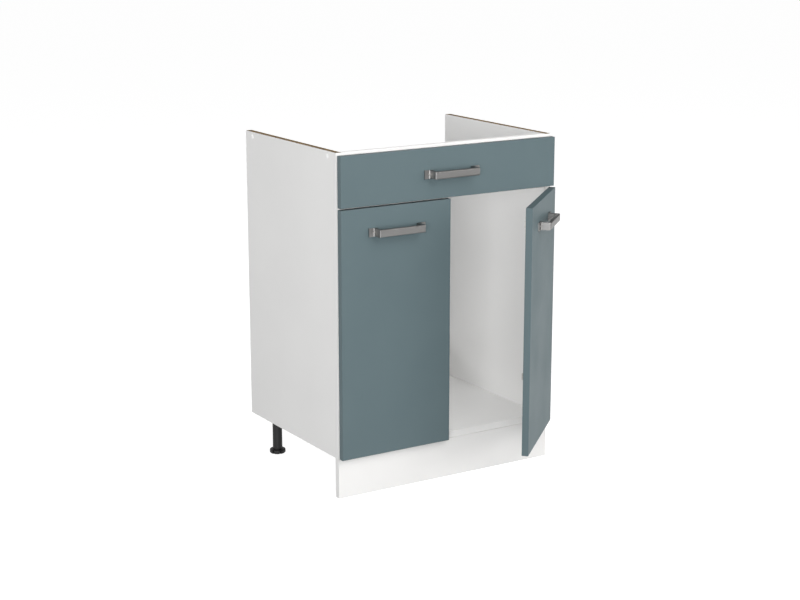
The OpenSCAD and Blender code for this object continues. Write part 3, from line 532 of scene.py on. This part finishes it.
def handle_form():
    form = bmesh.new()
    right = [(LEG_IN, 0), (LEG_OUT + FOOT_SPREAD, 0), (LEG_OUT + FOOT_SPREAD, -FOOT_T),
             (LEG_OUT, -FOOT_T), (LEG_OUT, -REACH)]
    left = [(-x, y) for x, y in reversed(right)]
    outline = right + left + [(-LEG_IN, -GRIP_BACK), (LEG_IN, -GRIP_BACK)]
    sheet = form.faces.new([form.verts.new((x, y, -BAR_H / 2)) for x, y in outline])
    grown = bmesh.ops.extrude_face_region(form, geom=[sheet])["geom"]
    bmesh.ops.translate(form, verts=[v for v in grown if isinstance(v, bmesh.types.BMVert)],
                        vec=(0, 0, BAR_H))
    bmesh.ops.recalc_face_normals(form, faces=form.faces)
    return form


# %% [markdown]
# The rounding of one upright edge is a bevel on the edges found at one plan place. The fold between
# a leg and its foot is tight, so it catches the light as a thin bright line down the foot.

# %% Round the corners and flare the feet
def round_upright(form, x, y, radius, segments):
    edges = [edge for edge in form.edges
             if all(abs(abs(v.co.x) - x) < NEAR and abs(v.co.y - y) < NEAR for v in edge.verts)]
    bmesh.ops.bevel(form, geom=edges, offset=radius, offset_type="OFFSET", segments=segments,
                    profile=0.5, affect="EDGES", material=-1)


def flare_feet(form):
    for depth in (FOOT_T, NECK):
        bmesh.ops.bisect_plane(form, geom=form.verts[:] + form.edges[:] + form.faces[:],
                               dist=NEAR, plane_co=(0, -depth, 0), plane_no=(0, 1, 0))
    for vert in form.verts:
        past = min(max((NECK + vert.co.y) / (NECK - FOOT_T), 0), 1)
        vert.co.z *= 1 + past * (FOOT_H / BAR_H - 1)


def finished_handle():
    form = handle_form()
    round_upright(form, LEG_OUT, -FOOT_T, FOOT_FILLET, segments=8)
    round_upright(form, LEG_OUT, -REACH, CORNER_R, segments=8)
    round_upright(form, LEG_IN, -GRIP_BACK, INNER_R, segments=4)
    flare_feet(form)
    round_edges(form, HANDLE_EDGE_R, angle=50, shortest=0.2 * MM, segments=3)
    return form


# %% [markdown]
# The same form serves three times. The front's handle and the left door's are only moved, and the
# right door's also takes the open door's turn.

# %% Put the three handles in place
drawer_low, drawer_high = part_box("handle_drawer")
left_low, left_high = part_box("handle_left")
HANDLE_Z = (left_low.z + left_high.z) / 2
DOOR_MID = -(left_low.x + left_high.x) / 2
spots = {
    "handle_drawer": Matrix.Translation((0, drawer_high.y, (drawer_low.z + drawer_high.z) / 2)),
    "handle_left": Matrix.Translation((-DOOR_MID, left_high.y, HANDLE_Z)),
    "handle_right": opened @ Matrix.Translation((DOOR_MID, left_high.y, HANDLE_Z)),
}
for node, spot in spots.items():
    form = finished_handle()
    bmesh.ops.transform(form, matrix=spot, verts=form.verts)
    handle = stand_in(node, form)
    print(node, "faces:", len(handle.data.polygons))

# %% [markdown]
# ## Screw feet
# The base of each foot is a moulded disc with seven lobes, which fingers or a spanner turn. A circle
# is dented at the seven notches, then extruded upwards ring by ring: a rounded edge at the bottom,
# an upright wall and a rounded edge at the top. Each pair in RIM is a ring's distance in from the
# widest outline and its height, in millimetres. The spindle above stands in the leg's column.

# %% Measures of a foot and its lobed base
foot_low, foot_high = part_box("foot_rear_left")
BASE_R = (foot_high.x - foot_low.x) / 2
BASE_H = 10.5 * MM
LOBES = 7
NOTCH_TURN = math.radians(4.4)
NOTCH_HALF = 1.9 * MM
NOTCH_DEEP = 3.6 * MM
NOTCH_CURVE = 0.6
BOTTOM_INSET = 1.7
RIM = [(0.9, 0.7), (0.3, 1.7), (0, 2.7), (0, 7.5), (0.3, 8.6), (0.9, 9.5), (1.8, 10.2), (3, 10.5)]
STEPS = LOBES * 32


def dent(vert):
    pitch = 2 * math.pi / LOBES
    turn = (math.atan2(vert.co.y, vert.co.x) - NOTCH_TURN + pitch / 2) % pitch - pitch / 2
    near = max(0, 1 - (turn * BASE_R / NOTCH_HALF) ** 2)
    vert.co *= 1 - NOTCH_DEEP / BASE_R * near ** NOTCH_CURVE


def grow_ring(form, ring, height, radius=None, shrink=1.0):
    grown = bmesh.ops.extrude_edge_only(form, edges=ring)["geom"]
    for vert in [v for v in grown if isinstance(v, bmesh.types.BMVert)]:
        plan = vert.co.xy.normalized() * radius if radius else vert.co.xy * shrink
        vert.co = (plan.x, plan.y, height)
    return [e for e in grown if isinstance(e, bmesh.types.BMEdge)]


# %% [markdown]
# The spindle has a thread, so that turning the base lifts the corner of the cabinet. The outline of
# one tooth is spun round the axis and moved up a little at each step, which gives the ridge. The
# core is a little thinner than the plain solid, and the ridge reaches the solid's width. The tooth
# starts a tenth of a millimetre inside the core, so that no gap shows between them.

# %% Spindle and thread
SPINDLE_R = 9 * MM
THREAD_DEEP = 0.8 * MM
THREAD_PITCH = 3 * MM
THREAD_LOW = BASE_H + 1.5 * MM
THREAD_STEPS = 32
TOOTH_HALF = 0.4 * THREAD_PITCH
CREST_HALF = 0.15 * TOOTH_HALF
ROOTED = 0.1 * MM
CORE_R = SPINDLE_R - THREAD_DEEP
TIP_SLOPE = 1 * MM


def add_thread(form, top):
    root = CORE_R - ROOTED
    turns = int((top - THREAD_LOW - 2 * TOOTH_HALF) / THREAD_PITCH)
    tooth = [(root, -TOOTH_HALF), (SPINDLE_R, -CREST_HALF), (SPINDLE_R, CREST_HALF),
             (root, TOOTH_HALF)]
    middle = THREAD_LOW + TOOTH_HALF
    start = form.faces.new([form.verts.new((x, 0, middle + z)) for x, z in tooth])
    bmesh.ops.spin(form, geom=[start], cent=(0, 0, 0), axis=(0, 0, 1),
                   dvec=(0, 0, THREAD_PITCH / THREAD_STEPS), angle=2 * math.pi * turns,
                   steps=THREAD_STEPS * turns, use_duplicate=False)
    return turns


def foot_form(top):
    form = bmesh.new()
    bmesh.ops.create_circle(form, segments=STEPS, radius=BASE_R)
    for vert in form.verts:
        dent(vert)
    inset = BOTTOM_INSET
    bmesh.ops.scale(form, verts=form.verts, vec=(1 - inset * MM / BASE_R,) * 3)
    ring = form.edges[:]
    bmesh.ops.contextual_create(form, geom=ring)
    for next_inset, height in RIM:
        shrink = (BASE_R - next_inset * MM) / (BASE_R - inset * MM)
        ring = grow_ring(form, ring, height * MM, shrink=shrink)
        inset = next_inset
    ring = grow_ring(form, ring, BASE_H, radius=CORE_R)
    ring = grow_ring(form, ring, top - TIP_SLOPE, radius=CORE_R)
    ring = grow_ring(form, ring, top, radius=CORE_R - TIP_SLOPE)
    bmesh.ops.contextual_create(form, geom=ring)
    turns = add_thread(form, top)
    return form, turns


# %% [markdown]
# All four feet are alike, so the form is made once and copied. Each copy is moved to the middle of
# its own node's box.

# %% Put the four feet in place
plain_foot, turns = foot_form(foot_high.z)
print("thread turns:", turns)
for node in ("foot_front_left", "foot_front_right", "foot_rear_left", "foot_rear_right"):
    low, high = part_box(node)
    form = plain_foot.copy()
    bmesh.ops.translate(form, verts=form.verts, vec=((low.x + high.x) / 2, (low.y + high.y) / 2, 0))
    foot = stand_in(node, form)
    print(node, "faces:", len(foot.data.polygons))
plain_foot.free()

# %% [markdown]
# ## Floor and light
# The studio is all white. The pale floor glows as a light table does, so that only faint shadows
# stay. It shows in reflections, but its glow doesn't light the boards from below.

# %% Floor
FLOOR_WIDTH = 120
FLOOR_DROP = 0.5 * MM
FLOOR_GREY = (0.30, 0.30, 0.30)
FLOOR_PALE = (0.32, 0.32, 0.32)
GLOW = 0.92


def glowing(name):
    finish, tree, shader = start_finish(name, 0.9)
    shader.inputs["Base Color"].default_value = (*FLOOR_GREY, 1)
    shader.inputs["Emission Color"].default_value = (1, 1, 1, 1)
    shader.inputs["Emission Strength"].default_value = GLOW
    return finish, tree, shader


bpy.ops.mesh.primitive_plane_add(size=FLOOR_WIDTH, location=(0, 0, -FLOOR_DROP))
floor = bpy.context.object
floor.name = "floor"
floor_finish, tree, shader = glowing("pale_floor")
paint(tree, shader, mix_colour(tree, noise(tree, 60), FLOOR_GREY, FLOOR_PALE))
floor.data.materials.append(floor_finish)
floor.visible_diffuse = False
print("floor is", FLOOR_WIDTH, "m wide")

# %% [markdown]
# A view from low down looks past the floor's far edge, so a pale dome stands behind it. It is there
# for the camera alone: light passes through it, and no surface reflects it.

# %% Backdrop
DOME_R = 55
dome_form = bmesh.new()
bmesh.ops.create_uvsphere(dome_form, u_segments=64, v_segments=32, radius=DOME_R)
bmesh.ops.bisect_plane(dome_form, geom=dome_form.verts[:] + dome_form.edges[:] + dome_form.faces[:],
                       plane_co=(0, 0, -2 * FLOOR_DROP), plane_no=(0, 0, 1), clear_inner=True)
dome_mesh = bpy.data.meshes.new("backdrop")
dome_form.to_mesh(dome_mesh)
dome_form.free()
dome_mesh.materials.append(glowing("pale_backdrop")[0])
backdrop = bpy.data.objects.new("backdrop", dome_mesh)
scene.collection.objects.link(backdrop)
for rays in ("visible_diffuse", "visible_glossy", "visible_transmission", "visible_shadow",
             "visible_volume_scatter"):
    setattr(backdrop, rays, False)
print("backdrop faces:", len(dome_mesh.polygons))

# %% [markdown]
# The room's own light is dim, and dimmer from below, so that undersides and gaps stay dark.

# %% Room light
ROOM_ABOVE = 0.18
ROOM_BELOW = 0.1
HORIZON = (-0.2, 0.1)
world = bpy.data.worlds.new("white_room")
world.use_nodes = True
room = world.node_tree
direction = add(room, "TexCoord").outputs["Generated"]
above = add(room, "SeparateXYZ", {"Vector": direction}).outputs["Z"]
strength = ramp(room, above, *HORIZON, ROOM_BELOW, ROOM_ABOVE)
room.links.new(strength, room.nodes["Background"].inputs["Strength"])
room.nodes["Background"].inputs["Color"].default_value = (1, 1, 1, 1)
scene.world = world
print("room light from", ROOM_BELOW, "to", ROOM_ABOVE)

# %% [markdown]
# Eight soft boxes do the rest. Each line of the table gives a box's place, its width in metres, its
# power in watts and its colour. The one at the front left is the strongest. The open door holds the
# light of the right ones off the left door, which darkens towards the opening. Two boxes stand
# behind, for the open back. The low box on the right isn't seen in reflections, because it would
# show as a bright patch on the handles.

# %% Softboxes
NEUTRAL = (1, 1, 1)
WARM = (1, 0.98, 0.955)
MIDDLE = Vector((0, 0, 0.4))


def softbox(name, place, size, power, colour):
    light = bpy.data.lights.new(name, "AREA")
    light.shape = "SQUARE"
    light.size = size
    light.energy = power
    light.color = colour
    lamp = bpy.data.objects.new(name, light)
    lamp.location = place
    lamp.rotation_euler = (MIDDLE - Vector(place)).to_track_quat("-Z", "Y").to_euler()
    scene.collection.objects.link(lamp)
    return lamp


boxes = [
    ("right_box", (3.2, -2.6, 1.8), 2.0, 54, WARM),
    ("low_right_box", (2.2, -3.6, 1.0), 2.0, 39, NEUTRAL),
    ("front_left_box", (-2.4, -3.2, 0.9), 2.2, 118, NEUTRAL),
    ("left_box", (-3.8, -0.6, 1.6), 2.0, 35, NEUTRAL),
    ("front_top_box", (0.3, -2.6, 3.2), 2.0, 53, WARM),
    ("top_box", (0, 0.1, 3.6), 2.4, 28, NEUTRAL),
    ("back_left_box", (-1.8, 3.4, 1.9), 2.0, 36, NEUTRAL),
    ("back_right_box", (1.8, 3.4, 1.9), 2.0, 12, NEUTRAL),
]
lamps = {box[0]: softbox(*box) for box in boxes}
lamps["low_right_box"].visible_glossy = False
scene.view_settings.view_transform = "Standard"
print("soft boxes:", len(lamps))
